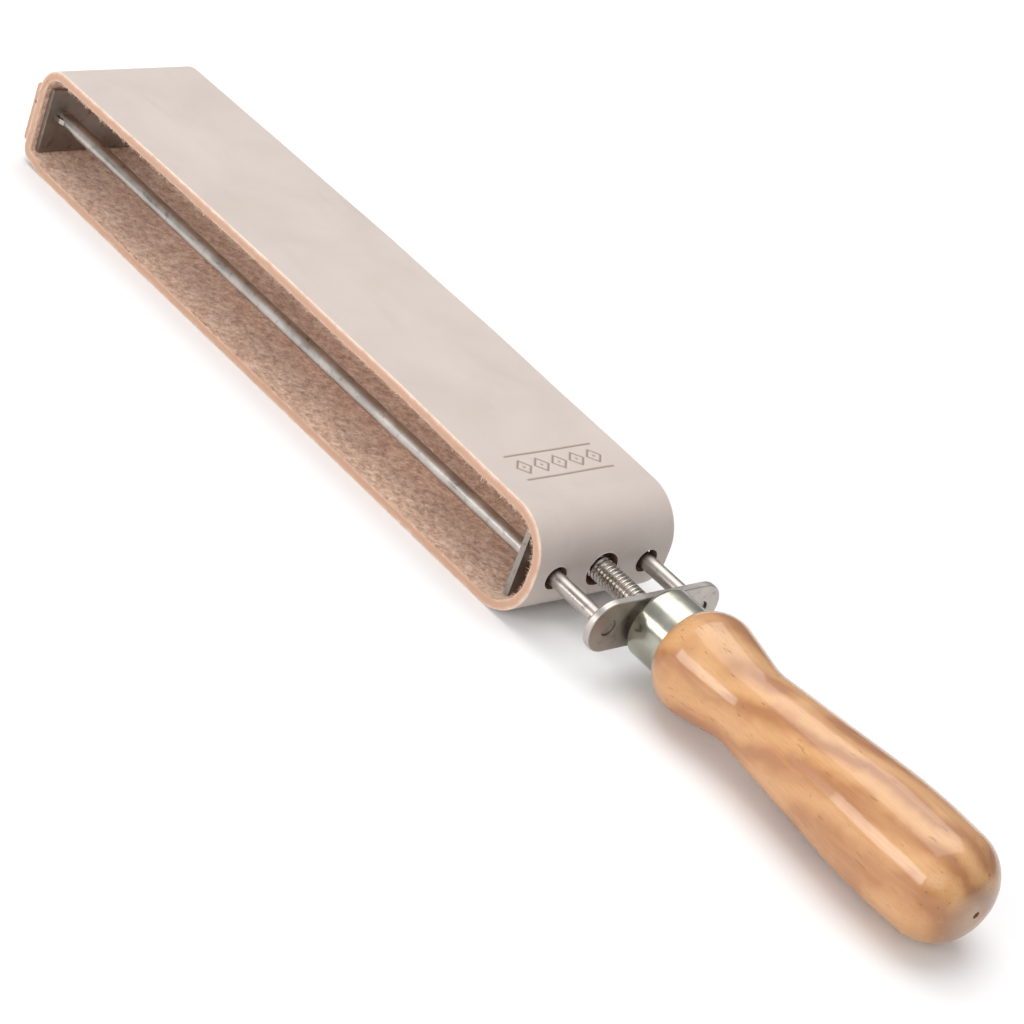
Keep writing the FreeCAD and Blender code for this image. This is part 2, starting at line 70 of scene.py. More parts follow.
# Bends of the outer face seen from the side: x from the far plate, height above the rods, radius.
BENDS_MM = (
    (FAR_X_MM + 4.2, -10.8, 4.2),
    (7.5, FLOOR_MM + 20.0, 20.0),
    (NEAR_X_MM - 15.4, FLOOR_MM + 15.4, 15.4),
    (NEAR_X_MM - 14.0, 2.4, 14.0),
    (100.0, 18.1 - 4600.0, 4600.0),
    (FAR_X_MM + 9.7, 7.7, 9.7),
)
DENSE_STEP_MM = 0.05
COLUMN_STEP_MM = 0.4
FLAT_STEP_MM = 0.8
BEND_STEP_MM = 0.4
TOOLED_STEP_MM = 0.3
NEAR_BEND_START_MM = 203.0
FAR_BEND_END_MM = 14.0
# Section of the cut edge: distance in from the widest point and depth below the grain side.
EDGE_PROFILE_MM = (
    (0.22, 0.05), (0.06, 0.22), (0.0, 0.6), (0.0, 1.1),
    (0.0, 1.6), (0.0, 2.1), (0.03, 2.55), (0.14, 2.86),
)
EDGE_ROUND_MM = 0.5
HOLE_RIM_MM = 0.25
ROD_HOLE_MM = 3.4
SPINDLE_HOLE_MM = 5.1

# Unevenness of the leather: slow waves of both faces, nap of the flesh side and flaws of the cut edge.
WAVE_HEIGHT_MM = 0.10
WAVE_SIZE_MM = 55.0
WAVE_FADE_MM = 30.0
NAP_LEVEL_MM = 0.03
KNIFE_WOBBLE_MM = 0.035
FRAY_MM = 0.05
NICK_MM = 0.22

# Blind-tooled border on the upper strap: two lines with a row of lozenges between them.
TOOLED_MIDDLE_MM = 214.5
TOOLED_HALF_LENGTH_MM = 5.2
TOOLED_HALF_WIDTH_MM = 16.0
TOOLED_PITCH_MM = 6.4
TOOLED_LINE_MM = 0.34
TOOLED_DEPTH_MM = 0.22
TOOLED_END_SHARPNESS = 8
LOZENGE_GAP_MM = 1.6
LOZENGE_SIZE = 0.78
LOZENGE_LINE = 0.13
DOT_MM = 0.45

GRAIN, CUT_EDGE, SUEDE, HOLE_WALL = range(4)


def tangent_angle(first, second):
    """Outward normal of the line that touches two bends, going round anticlockwise."""
    dx = second[0] - first[0]
    dz = second[1] - first[1]
    return math.atan2(dz, dx) - math.acos((first[2] - second[2]) / math.hypot(dx, dz))


class BandLine:
    """The band's outer face seen from the side, by distance along it in millimetres."""

    def __init__(self, bends):
        count = len(bends)
        angles = [tangent_angle(bends[i], bends[(i + 1) % count]) for i in range(count)]
        points, normals = [], []
        for i, (x, z, radius) in enumerate(bends):
            start = angles[i - 1]
            end = start + (angles[i] - start) % FULL_TURN
            steps = max(2, int((end - start) * radius / DENSE_STEP_MM))
            for angle in np.linspace(start, end, steps):
                normals.append((math.cos(angle), math.sin(angle)))
                points.append((x + radius * math.cos(angle), z + radius * math.sin(angle)))
        points.append(points[0])
        normals.append(normals[0])
        self.points = np.array(points)
        self.normals = np.array(normals)
        hops = np.linalg.norm(np.diff(self.points, axis=0), axis=1)
        self.distance = np.concatenate(([0.0], np.cumsum(hops)))
        self.length = self.distance[-1]

    def at(self, s):
        s = np.mod(s, self.length)
        place = [np.interp(s, self.distance, self.points[:, k]) for k in (0, 1)]
        normal = [np.interp(s, self.distance, self.normals[:, k]) for k in (0, 1)]
        scale = np.hypot(normal[0], normal[1])
        return place[0], place[1], normal[0] / scale, normal[1] / scale

    def find(self, wanted):
        """Distance along the band at which the test on (x, z) is smallest."""
        s = np.arange(0.0, self.length, DENSE_STEP_MM)
        x, z = self.at(s)[:2]
        return s[np.argmin(wanted(x, z))]


BAND = BandLine(BENDS_MM)
APEX_S = BAND.find(lambda x, z: np.abs(z) + 1000.0 * (x < NEAR_X_MM / 2))
TOOLED_S = BAND.find(lambda x, z: np.abs(x - TOOLED_MIDDLE_MM) + 1000.0 * (z < 0))


def smooth_noise(seed, size_mm, *coordinates):
    """Soft noise of about -1 to 1 from twelve sine waves in random directions."""
    rng = random.Random(seed)
    total = 0.0
    waves = 12
    for _ in range(waves):
        angle = rng.uniform(0, FULL_TURN)
        pitch = size_mm * rng.uniform(0.6, 1.6)
        weights = (math.cos(angle), math.sin(angle), rng.uniform(-1, 1))
        phase = rng.uniform(0, FULL_TURN)
        along = sum(weight * c for weight, c in zip(weights, coordinates))
        total = total + np.sin(along * FULL_TURN / pitch + phase)
    return total / math.sqrt(waves / 2) / 1.6


def row_distances():
    """Places along the band where it gets a row of vertices, closer together where it bends."""
    rows = [0.0]
    while rows[-1] < BAND.length:
        x = float(BAND.at(rows[-1])[0])
        step = FLAT_STEP_MM
        if x > NEAR_BEND_START_MM or x < FAR_BEND_END_MM:
            step = BEND_STEP_MM
        if abs(rows[-1] - TOOLED_S) < TOOLED_HALF_LENGTH_MM + 2:
            step = TOOLED_STEP_MM
        rows.append(rows[-1] + step)
    return np.array(rows[:-1]) * BAND.length / rows[-1]


def tooled_depth(s, y):
    """Depth, 0 to 1, of the tooled border at a place on the band."""
    ds = s - TOOLED_S
    inside = 1 / (1 + np.exp((np.abs(y) - TOOLED_HALF_WIDTH_MM) * TOOLED_END_SHARPNESS))
    off_lines = [(ds - side * TOOLED_HALF_LENGTH_MM) / TOOLED_LINE_MM for side in (-1, 1)]
    lines = sum(np.exp(-off ** 2) for off in off_lines)
    phase = np.mod(y / TOOLED_PITCH_MM + 0.5, 1.0) - 0.5
    ring = np.abs(phase) * 2 + np.abs(ds) / (TOOLED_HALF_LENGTH_MM - LOZENGE_GAP_MM) - LOZENGE_SIZE
    lozenges = np.exp(-(ring / LOZENGE_LINE) ** 2)
    dots = np.exp(-((phase * TOOLED_PITCH_MM) ** 2 + ds ** 2) / DOT_MM ** 2)
    return np.clip((lines + lozenges + dots) * inside, 0, 1)


def place_on_band(s, y, depth):
    """Row-frame position of a point at depth millimetres below the band's outer face."""
    x, z, nx, nz = BAND.at(s)
    calm = np.clip((x - FAR_BEND_END_MM) / WAVE_FADE_MM, 0, 1)
    lift = WAVE_HEIGHT_MM * calm * smooth_noise(3, WAVE_SIZE_MM, s, y * 1.4)
    lift = np.where(nz < 0, np.minimum(lift, 0), lift)
    reach = lift - depth
    return np.stack((
        FAR_FACE_X + (x + nx * reach) * MM,
        np.broadcast_to(y, np.shape(x)) * MM,
        AXIS_Z + (z + nz * reach) * MM,
    ), axis=-1)


def hole_faces(s, y, hole):
    """Marks the grid's faces inside a punched hole."""
    s_mid = (s[:-1, :-1] + s[1:, 1:]) / 2
    y_mid = (y[:-1, :-1] + y[1:, 1:]) / 2
    return np.hypot(s_mid - hole[0], y_mid - hole[1]) < hole[2] + HOLE_RIM_MM


def hole_boundary(cut):
    """Edges between cut and kept faces, as pairs of (row, column) vertices in the cut face's order."""
    sides = (
        ((0, 0), (0, 1), (-1, 0)),
        ((0, 1), (1, 1), (0, 1)),
        ((1, 1), (1, 0), (1, 0)),
        ((1, 0), (0, 0), (0, -1)),
    )
    edges = []
    for row, column in zip(*np.nonzero(cut)):
        for first, second, beside in sides:
            if not cut[row + beside[0], column + beside[1]]:
                start = (row + first[0], column + first[1])
                end = (row + second[0], column + second[1])
                edges.append((start, end))
    return edges


class MeshParts:
    """Collects vertices, faces and their material numbers for one mesh."""

    def __init__(self):
        self.points, self.faces, self.kinds, self.marks = [], [], [], []
        self.count = 0

    def add_points(self, points, depth=0.0, tooling=0.0):
        flat = np.asarray(points, float).reshape(-1, 3)
        first = self.count
        self.points.append(flat)
        marks = np.zeros((len(flat), 2))
        marks[:, 0] = np.broadcast_to(depth, np.shape(points)[:-1]).ravel()
        marks[:, 1] = np.broadcast_to(tooling, np.shape(points)[:-1]).ravel()
        self.marks.append(marks)
        self.count += len(flat)
        return first + np.arange(len(flat)).reshape(np.shape(points)[:-1])

    def add_faces(self, faces, kind=0):
        faces = np.asarray(faces).reshape(-1, 4)
        self.faces.append(faces)
        self.kinds.append(np.full(len(faces), kind))

    def strip(self, first, second, kind):
        """Quads between two lines of vertices that both close on themselves."""
        after_first = np.roll(first, -1)
        after_second = np.roll(second, -1)
        self.add_faces(np.stack((first, second, after_second, after_first), axis=-1), kind)

    def build(self, name, looks):
        mesh = bpy.data.meshes.new(name)
        mesh.from_pydata(np.concatenate(self.points).tolist(), [], np.concatenate(self.faces).tolist())
        for look in looks:
            mesh.materials.append(look)
        mesh.polygons.foreach_set("material_index", np.concatenate(self.kinds).astype(np.int32))
        mesh.polygons.foreach_set("use_smooth", np.ones(len(mesh.polygons), bool))
        marks = np.concatenate(self.marks).astype(np.float32)
        for column, label in enumerate(("depth", "tooling")):
            layer = mesh.attributes.new(label, "FLOAT", "POINT")
            layer.data.foreach_set("value", marks[:, column])
        mesh.update()
        piece = bpy.data.objects.new(name, mesh)
        bpy.context.scene.collection.objects.link(piece)
        return piece


def grid_quads(grid):
    """Corner vertices of every face of a grid of vertices."""
    return np.stack((grid[:-1, :-1], grid[:-1, 1:], grid[1:, 1:], grid[1:, :-1]), axis=-1)


def punch(s, y, hole):
    """Cuts a hole out of the grid: moves its border vertices onto the circle and returns the cut."""
    cut = hole_faces(s, y, hole)
    edges = hole_boundary(cut)
    for row, column in {corner for edge in edges for corner in edge}:
        ds, dy = s[row, column] - hole[0], y[row, column] - hole[1]
        scale = (hole[2] + HOLE_RIM_MM) / math.hypot(ds, dy)
        s[row, column] = hole[0] + ds * scale
        y[row, column] = hole[1] + dy * scale
    return cut, edges


def add_hole_wall(parts, s, y, hole, edges, outer, inner):
    """The punched wall between the two faces, with softened rims."""
    corners = sorted({corner for edge in edges for corner in edge})
    number = {corner: i for i, corner in enumerate(corners)}
    rows, columns = (np.array(list(side)) for side in zip(*corners))
    ds, dy = s[rows, columns] - hole[0], y[rows, columns] - hole[1]
    shrink = hole[2] / (hole[2] + HOLE_RIM_MM)
    rings = [outer[rows, columns]]
    for depth in (HOLE_RIM_MM, THICKNESS_MM / 2, THICKNESS_MM - HOLE_RIM_MM):
        ring = place_on_band(hole[0] + ds * shrink, hole[1] + dy * shrink, depth)
        rings.append(parts.add_points(ring, depth / THICKNESS_MM))
    rings.append(inner[rows, columns])
    first = [number[edge[0]] for edge in edges]
    second = [number[edge[1]] for edge in edges]
    for upper, lower in zip(rings, rings[1:]):
        quads = np.stack((upper[second], upper[first], lower[first], lower[second]), axis=-1)
        parts.add_faces(quads, HOLE_WALL)


def make_leather_band(looks):
    """The whole band: grain side, flesh side, punched holes and both cut edges."""
    half = BAND_HALF_WIDTH / MM
    rows = row_distances()
    face_half = half - EDGE_ROUND_MM
    columns = np.linspace(-face_half, face_half, round(2 * half / COLUMN_STEP_MM))
    s, y = (grid.copy() for grid in np.meshgrid(rows, columns, indexing="ij"))
    rod_y = ROD_Y / MM
    across_and_radius = ((-rod_y, ROD_HOLE_MM), (0.0, SPINDLE_HOLE_MM), (rod_y, ROD_HOLE_MM))
    holes = [(APEX_S, across, radius) for across, radius in across_and_radius]
    punched = [punch(s, y, hole) for hole in holes]
    tooling = tooled_depth(s, y)
    parts = MeshParts()
    nap = 0.035 * smooth_noise(11, 1.9, s, y) + 0.02 * smooth_noise(12, 0.9, s, y)
    outer = parts.add_points(place_on_band(s, y, tooling * TOOLED_DEPTH_MM), 0.0, tooling)
    inner = parts.add_points(place_on_band(s, y, THICKNESS_MM + nap * 0.6 - NAP_LEVEL_MM), 1.0)
    kept = ~np.logical_or.reduce([cut for cut, _ in punched])
    for grid, kind, flip in ((outer, GRAIN, False), (inner, SUEDE, True)):
        quads = grid_quads(grid)[kept]
        parts.add_faces(quads[:, ::-1] if flip else quads, kind)
        closing = np.stack((grid[-1, :-1], grid[-1, 1:], grid[0, 1:], grid[0, :-1]), axis=-1)
        parts.add_faces(closing[:, ::-1] if flip else closing, kind)
    for hole, (_, edges) in zip(holes, punched):
        add_hole_wall(parts, s, y, hole, edges, outer, inner)
    for side, column in ((-1, 0), (1, -1)):
        add_cut_edge(parts, rows, side, half, outer[:, column], inner[:, column])
    return parts.build("leather_band_hide", looks)


def add_cut_edge(parts, rows, side, half, outer_line, inner_line):
    """One long edge of the band, cut with a knife: slightly uneven, frayed at the flesh side."""
    lines = [outer_line]
    for number, (inset, depth) in enumerate(EDGE_PROFILE_MM):
        fray = depth / THICKNESS_MM
        rough = KNIFE_WOBBLE_MM * smooth_noise(20 + side, 9.0, rows, depth)
        rough = rough + FRAY_MM * fray * smooth_noise(31 + side, 2.2, rows)
        nick = NICK_MM * fray * np.clip(smooth_noise(41 + side, 5.0, rows, depth * 3) - 1.0, 0, 1)
        y = side * (half - inset - np.abs(rough) - nick)
        sway = FRAY_MM * fray * smooth_noise(50 + number + side, 3.0, rows)
        lines.append(parts.add_points(place_on_band(rows, y, depth + sway), depth / THICKNESS_MM))
    lines.append(inner_line)
    if side > 0:
        lines = lines[::-1]
    for first, second in zip(lines, lines[1:]):
        parts.strip(second, first, CUT_EDGE)


# ---- fibres that stand out of the flesh side's rims -------------------------------------------------

FIBRES_PER_MM = 4.5
FIBRE_SIDES = 3


def fibre_points(rng, root, out, along):
    """Three rings of a short tapering fibre that curls away from the rim."""
    length = rng.uniform(0.25, 1.0) * MM
    width = rng.uniform(0.03, 0.11) * MM
    heading = (out + along * rng.uniform(-1.3, 1.3) + Vector((0, rng.uniform(-0.5, 0.7), 0))).normalized()
    curl = Vector([rng.uniform(-0.5, 0.5) for _ in range(3)])
    rings = []
    for step, taper in ((0.0, 1.0), (0.5, 0.8), (1.0, 0.15)):
        centre = root + heading * (length * step) + curl * (length * step * step)
        across = heading.orthogonal().normalized()
        for side in range(FIBRE_SIDES):
            turn = Quaternion(heading, FULL_TURN * side / FIBRE_SIDES)
            rings.append(centre + (turn @ across) * (width * taper))
    return rings


def make_rim_fibres(look):
    rng = random.Random(77)
    parts = MeshParts()
    points, faces = [], []
    half = BAND_HALF_WIDTH / MM
    for side in (-1, 1):
        for _ in range(int(BAND.length * FIBRES_PER_MM)):
            s = rng.uniform(0, BAND.length)
            x, z, nx, nz = (float(v) for v in BAND.at(s))
            if x < FAR_BEND_END_MM / 4:
                continue
            y = side * (half - rng.uniform(0.03, 0.35))
            root = Vector(place_on_band(np.array(s), np.array(y), rng.uniform(2.7, 2.98)).tolist())
            inward, along = Vector((-nx, side * 0.6, -nz)), Vector((-nz, 0, nx))
            start = len(points)
            points.extend(fibre_points(rng, root, inward, along))
            for ring in (0, FIBRE_SIDES):
                for k in range(FIBRE_SIDES):
                    following = (k + 1) % FIBRE_SIDES
                    faces.append([start + ring + k, start + ring + following,
                                  start + ring + FIBRE_SIDES + following, start + ring + FIBRE_SIDES + k])
    parts.add_points(np.array([tuple(p) for p in points]), 1.0)
    parts.add_faces(faces)
    return parts.build("leather_rim_fibres", [look])


# ---- splice patch -----------------------------------------------------------------------------------

PATCH_ROWS = 48
PATCH_COLUMNS = 120
PATCH_END_HEIGHT = 0.62
PATCH_END_MM = 0.7
PATCH_ROUND_MM = 0.2
PATCH_FUZZ_MM = 0.05
PATCH_SINK_MM = 0.03
PATCH_SIDES = ((0.85, 0.8), (0.5, 1.0), (0.15, 0.9))


def grid_border(grid):
    """The outermost line of a grid, once round."""
    return np.concatenate((grid[0, :-1], grid[:-1, -1], grid[-1, :0:-1], grid[:0:-1, 0]))


def make_splice_patch(looks):
    """Thin piece of leather glued over the joint in the band; it follows the band's face."""
    thick = (BAND_LOW.x - PATCH_LOW.x) / MM
    top = BAND.find(lambda x, z: np.hypot(x - FAR_X_MM, z - (PATCH_HIGH.z - AXIS_Z) / MM))
    bottom = BAND.find(lambda x, z: np.hypot(x - FAR_X_MM, z - (PATCH_LOW.z - AXIS_Z) / MM))
    bottom = bottom + BAND.length if bottom < top else bottom
    half = BAND_HALF_WIDTH / MM
    share = np.linspace(0, 1, PATCH_ROWS)
    s = top + (bottom - top) * share
    ends = np.minimum(share, 1 - share) * (bottom - top)
    height = thick * (PATCH_END_HEIGHT + (1 - PATCH_END_HEIGHT) * np.clip(ends / PATCH_END_MM, 0, 1) ** 0.5)
    across = np.linspace(-half + PATCH_ROUND_MM, half - PATCH_ROUND_MM, PATCH_COLUMNS)
    grid_s, grid_y = np.meshgrid(s, across, indexing="ij")
    fuzz = PATCH_FUZZ_MM * smooth_noise(61, 4.0, grid_s, grid_y)
    parts = MeshParts()
    upper = parts.add_points(place_on_band(grid_s, grid_y, -(height[:, None] + np.minimum(fuzz, 0))), 0.0)
    lower = parts.add_points(place_on_band(grid_s, grid_y, PATCH_SINK_MM), 1.0)
    parts.add_faces(grid_quads(upper), GRAIN)
    lower_quads = (lower[:-1, :-1], lower[1:, :-1], lower[1:, 1:], lower[:-1, 1:])
    parts.add_faces(np.stack(lower_quads, axis=-1), CUT_EDGE)
    border_s, border_y = grid_border(grid_s), grid_border(grid_y)
    level = grid_border(np.broadcast_to(height[:, None], grid_s.shape))
    sides = [grid_border(upper)]
    at_long_side = np.abs(border_y) > half - 1.5 * PATCH_ROUND_MM
    push = np.sign(border_y) * PATCH_ROUND_MM * at_long_side
    for depth, out in PATCH_SIDES:
        line = place_on_band(border_s, border_y + push * out, -level * depth)
        sides.append(parts.add_points(line, 1 - depth))
    sides.append(grid_border(lower))
    for first, second in zip(sides, sides[1:]):
        parts.strip(first, second, CUT_EDGE)
    return parts.build("splice_patch_leather", looks)


# ---- node materials -----------------------------------------------------------------------------------

def srgb(red, green, blue):
    """Linear colour of a screen colour given as 0 to 255."""
    shares = [value / 255 for value in (red, green, blue)]
    return tuple(v / 12.92 if v <= 0.04045 else ((v + 0.055) / 1.055) ** 2.4 for v in shares) + (1.0,)


class Look:
    """A node material under construction."""

    def __init__(self, name, **shader_values):
        self.material = bpy.data.materials.new(name)
        self.material.use_nodes = True
        self.tree = self.material.node_tree
        self.shader = self.tree.nodes["Principled BSDF"]
        for socket, value in shader_values.items():
            self.shader.inputs[socket.replace("_", " ")].default_value = value

    def node(self, kind, inputs=None, **settings):
        made = self.tree.nodes.new("ShaderNode" + kind)
        for name, value in settings.items():
            setattr(made, name, value)
        for name, value in (inputs or {}).items():
            if isinstance(value, bpy.types.NodeSocket):
                self.tree.links.new(value, made.inputs[name])
            else:
                made.inputs[name].default_value = value
        return made

    def set(self, socket, source):
        self.tree.links.new(source, self.shader.inputs[socket])

    def place(self, scale=(1, 1, 1), rotation=(0, 0, 0), move=(0, 0, 0)):
        """The piece's own coordinates in metres, scaled by axis."""
        source = self.node("TexCoord").outputs["Object"]
        inputs = {"Vector": source, "Location": move, "Rotation": rotation, "Scale": scale}
        mapped = self.node("Mapping", inputs)
        return mapped.outputs["Vector"]

    def noise(self, vector, scale, detail=4.0, roughness=0.55, distortion=0.0):
        made = self.node("TexNoise", {
            "Vector": vector, "Scale": scale, "Detail": detail,
            "Roughness": roughness, "Distortion": distortion})
        return made.outputs["Fac"]

    def cells(self, vector, scale, randomness=1.0):
        made = self.node("TexVoronoi", {"Vector": vector, "Scale": scale, "Randomness": randomness})
        return made.outputs["Distance"]

    def mark(self, name):
        return self.node("Attribute", attribute_name=name).outputs["Fac"]

    def ramp(self, value, *stops):
        """A colour ramp through (position, colour) stops."""
        made = self.node("ValToRGB", {"Fac": value})
        elements = made.color_ramp.elements
        while len(elements) < len(stops):
            elements.new(0.5)
        for element, (position, colour) in zip(elements, stops):
            element.position = position
            element.color = colour
        return made.outputs["Color"]

    def range(self, value, low, high, to_low=0.0, to_high=1.0, smooth=False):
        kind = "SMOOTHSTEP" if smooth else "LINEAR"
        made = self.node("MapRange", {
            "Value": value, "From Min": low, "From Max": high, "To Min": to_low, "To Max": to_high},
            interpolation_type=kind)
        return made.outputs["Result"]

    def math(self, operation, first, second=0.0):
        made = self.node("Math", operation=operation)
        for index, value in enumerate((first, second)):
            if isinstance(value, bpy.types.NodeSocket):
                self.tree.links.new(value, made.inputs[index])
            else:
                made.inputs[index].default_value = value
        return made.outputs["Value"]

    def mix(self, share, first, second, blend="MIX"):
        made = self.node("MixRGB", {"Fac": share, "Color1": first, "Color2": second}, blend_type=blend)
        return made.outputs["Color"]

    def bump(self, height, strength, distance_mm, under=None):
        inputs = {"Height": height, "Strength": strength, "Distance": distance_mm * MM}
        if under is not None:
            inputs["Normal"] = under
        return self.node("Bump", inputs).outputs["Normal"]

    def split(self, vector):
        return self.node("SeparateXYZ", {"Vector": vector}).outputs


def grain_leather(name, light, dark, pores=1.0):
    """Smooth undyed grain side: faint mottling, pores and fine creases."""
    look = Look(name, Specular_IOR_Level=0.35, Sheen_Weight=0.12, Sheen_Roughness=0.5)
    place = look.place()
    clouds = look.noise(place, 38.0, detail=5.0, roughness=0.6, distortion=0.4)
    fine = look.noise(place, 620.0, detail=3.0)
    base = look.ramp(clouds, (0.30, dark), (0.70, light))
    mottled = look.mix(0.10, base, look.ramp(fine, (0.35, dark), (0.65, light)))
    streaks = look.noise(look.place(scale=(0.25, 1, 1)), 160.0, detail=4.0)
    toned = look.mix(look.range(streaks, 0.60, 0.78, 0.0, 0.16), mottled, srgb(163, 146, 136))
    tooling = look.mark("tooling")
    burnt = look.mix(look.range(tooling, 0.1, 0.8, 0.0, 0.75), toned, srgb(122, 88, 74))
    look.set("Base Color", burnt)
    cells = look.cells(place, 1500.0)
    creases = look.noise(look.place(scale=(1, 0.6, 1)), 420.0, detail=6.0, roughness=0.7)
    normal = look.bump(look.range(cells, 0.0, 0.5), 0.10 * pores, 0.05)
    normal = look.bump(creases, 0.16 * pores, 0.10, normal)
    look.set("Normal", look.bump(clouds, 0.12, 0.4, normal))
    look.set("Roughness", look.range(fine, 0.3, 0.7, 0.46, 0.60))
    return look.material


def cut_edge_leather(name):
    """Knife-cut edge: tan core with streaks along the band, a paler rim and a frayed flesh side."""
    look = Look(name, Specular_IOR_Level=0.25, Sheen_Weight=0.25, Sheen_Roughness=0.6)
    place = look.place()
    depth = look.mark("depth")
    sway = look.noise(place, 240.0, detail=4.0, roughness=0.65)
    level = look.math("ADD", depth, look.range(sway, 0.3, 0.7, -0.10, 0.10))
    core = look.ramp(
        level, (0.0, srgb(226, 205, 188)), (0.16, srgb(206, 172, 150)), (0.34, srgb(190, 150, 125)),
        (0.72, srgb(188, 147, 121)), (0.90, srgb(202, 168, 145)), (1.0, srgb(214, 186, 164)))
    layers = look.node("TexNoise", {"Vector": look.node("CombineXYZ", {
        "X": look.math("MULTIPLY", level, 9.0), "Y": look.math("MULTIPLY", sway, 1.5)}).outputs["Vector"],
        "Scale": 2.4, "Detail": 3.0}).outputs["Fac"]
    grain = look.noise(place, 1500.0, detail=4.0, roughness=0.7)
    streaked = look.mix(look.range(layers, 0.45, 0.72, 0.0, 0.42), core, srgb(181, 138, 112))
    speckled = look.mix(look.range(grain, 0.52, 0.75, 0.0, 0.35), streaked, srgb(165, 122, 97))
    look.set("Base Color", add_scarf(look, speckled, place))
    normal = look.bump(grain, 0.55, 0.16)
    look.set("Normal", look.bump(layers, 0.35, 0.22, normal))
    look.set("Roughness", look.range(grain, 0.3, 0.7, 0.72, 0.88))
    return look.material


SCARF_INNER_MM = (FAR_X_MM + THICKNESS_MM, 12.2)
SCARF_OUTER_MM = (FAR_X_MM, 4.6)
SCARF_GLUE_MM = (FAR_X_MM + 0.1, 3.2)


def add_scarf(look, colour, place):
    """The joint of the band: a slanted glue line on the cut edge that ends in a dark bead of glue."""
    axes = look.split(place)
    x = look.math("SUBTRACT", axes["X"], FAR_FACE_X + SCARF_OUTER_MM[0] * MM)
    z = look.math("SUBTRACT", axes["Z"], AXIS_Z + SCARF_OUTER_MM[1] * MM)
    dx = (SCARF_INNER_MM[0] - SCARF_OUTER_MM[0]) * MM
    dz = (SCARF_INNER_MM[1] - SCARF_OUTER_MM[1]) * MM
    length = math.hypot(dx, dz)
    across_x = look.math("MULTIPLY", x, dz / length)
    across_z = look.math("MULTIPLY", z, dx / length)
    offset = look.math("SUBTRACT", across_x, across_z)
    line = look.range(look.math("ABSOLUTE", offset), 0.05 * MM, 0.22 * MM, 0.55, 0.0)
    near = look.range(axes["X"], FAR_FACE_X + 3.0 * MM, FAR_FACE_X + 2.0 * MM)
    above = look.range(z, -0.5 * MM, 0.0)
    below = look.range(z, dz + 0.5 * MM, dz)
    share = look.math("MULTIPLY", look.math("MULTIPLY", line, near), look.math("MULTIPLY", above, below))
    lined = look.mix(share, colour, srgb(128, 84, 62))
    bead_x = look.math("SUBTRACT", axes["X"], FAR_FACE_X + SCARF_GLUE_MM[0] * MM)
    bead_z = look.math("SUBTRACT", axes["Z"], AXIS_Z + SCARF_GLUE_MM[1] * MM)
    squares = look.math("ADD", look.math("POWER", bead_x, 2.0), look.math("POWER", bead_z, 2.0))
    round_off = look.math("SQRT", squares)
    return look.mix(look.range(round_off, 0.25 * MM, 0.75 * MM, 0.75, 0.0), lined, srgb(92, 40, 28))


def suede_leather(name):
    """Flesh side: a short speckled nap, with painted shade towards the far plate."""
    look = Look(name, Specular_IOR_Level=0.15, Sheen_Weight=0.35, Sheen_Roughness=0.7)
    place = look.place()
    coarse = look.noise(place, 460.0, detail=5.0, roughness=0.8)
    fine = look.cells(look.place(scale=(1, 1.3, 1)), 1300.0)
    patches = look.noise(place, 60.0, detail=3.0)
    colour = look.ramp(
        coarse, (0.36, srgb(170, 124, 96)), (0.50, srgb(222, 180, 150)), (0.64, srgb(250, 226, 204)))
    patchy = look.mix(look.range(patches, 0.4, 0.7, 0.0, 0.22), colour, srgb(150, 106, 86))
    along = look.split(place)["X"]
    # Painted shade: the flesh side is mixed darker towards the far plate, where shade falls inside the
    # loop.
    shade = look.range(along, FAR_FACE_X, BAND_HIGH.x, 0.20, 0.0)
    look.set("Base Color", look.mix(shade, patchy, srgb(128, 88, 70)))
    normal = look.bump(coarse, 0.75, 0.35)
    look.set("Normal", look.bump(fine, 0.35, 0.15, normal))
    look.set("Roughness", look.range(coarse, 0.3, 0.7, 0.84, 0.96))
    return look.material


def shaded_hole_wall(name):
    """Punched wall: compressed fibre, darkened further with painted shade inside the holes."""
    look = Look(name, Specular_IOR_Level=0.2)
    place = look.place()
    grain = look.noise(place, 1400.0, detail=4.0)
    # Painted shade: the wall is far darker than the cut edge of the same leather, standing in for the shade
    # inside the holes.
    look.set("Base Color", look.ramp(grain, (0.3, srgb(92, 58, 46)), (0.7, srgb(140, 98, 78))))
    look.set("Normal", look.bump(grain, 0.5, 0.15))
    look.set("Roughness", look.range(grain, 0.3, 0.7, 0.7, 0.85))
    return look.material


def steel(name, light, dark, roughness, scratch=0.3, stretch=(0.04, 1, 1), dirt=None):
    """Bare steel with drawn or rolled marks, cloudy tarnish and, where wanted, grime."""
    look = Look(name, Metallic=1.0)
    place = look.place()
    clouds = look.noise(place, 90.0, detail=5.0, roughness=0.65)
    lines = look.noise(look.place(scale=stretch), 2600.0, detail=3.0, roughness=0.6)
    colour = look.ramp(clouds, (0.32, dark), (0.68, light))
    colour = look.mix(look.range(lines, 0.5, 0.8, 0.0, scratch), colour, light)
    if dirt:
        spots = look.noise(place, 420.0, detail=4.0)
        colour = look.mix(look.range(spots, 0.58, 0.72, 0.0, 0.45), colour, dirt)
    look.set("Base Color", colour)
    normal = look.bump(lines, scratch * 0.5, 0.02)
    look.set("Normal", look.bump(clouds, 0.10, 0.10, normal))
    clouded = look.range(clouds, 0.3, 0.7, -0.07, 0.09)
    lined = look.range(lines, 0.3, 0.7, -0.04, 0.05)
    worn = look.math("ADD", clouded, lined)
    look.set("Roughness", look.math("ADD", worn, roughness))
    return look.material


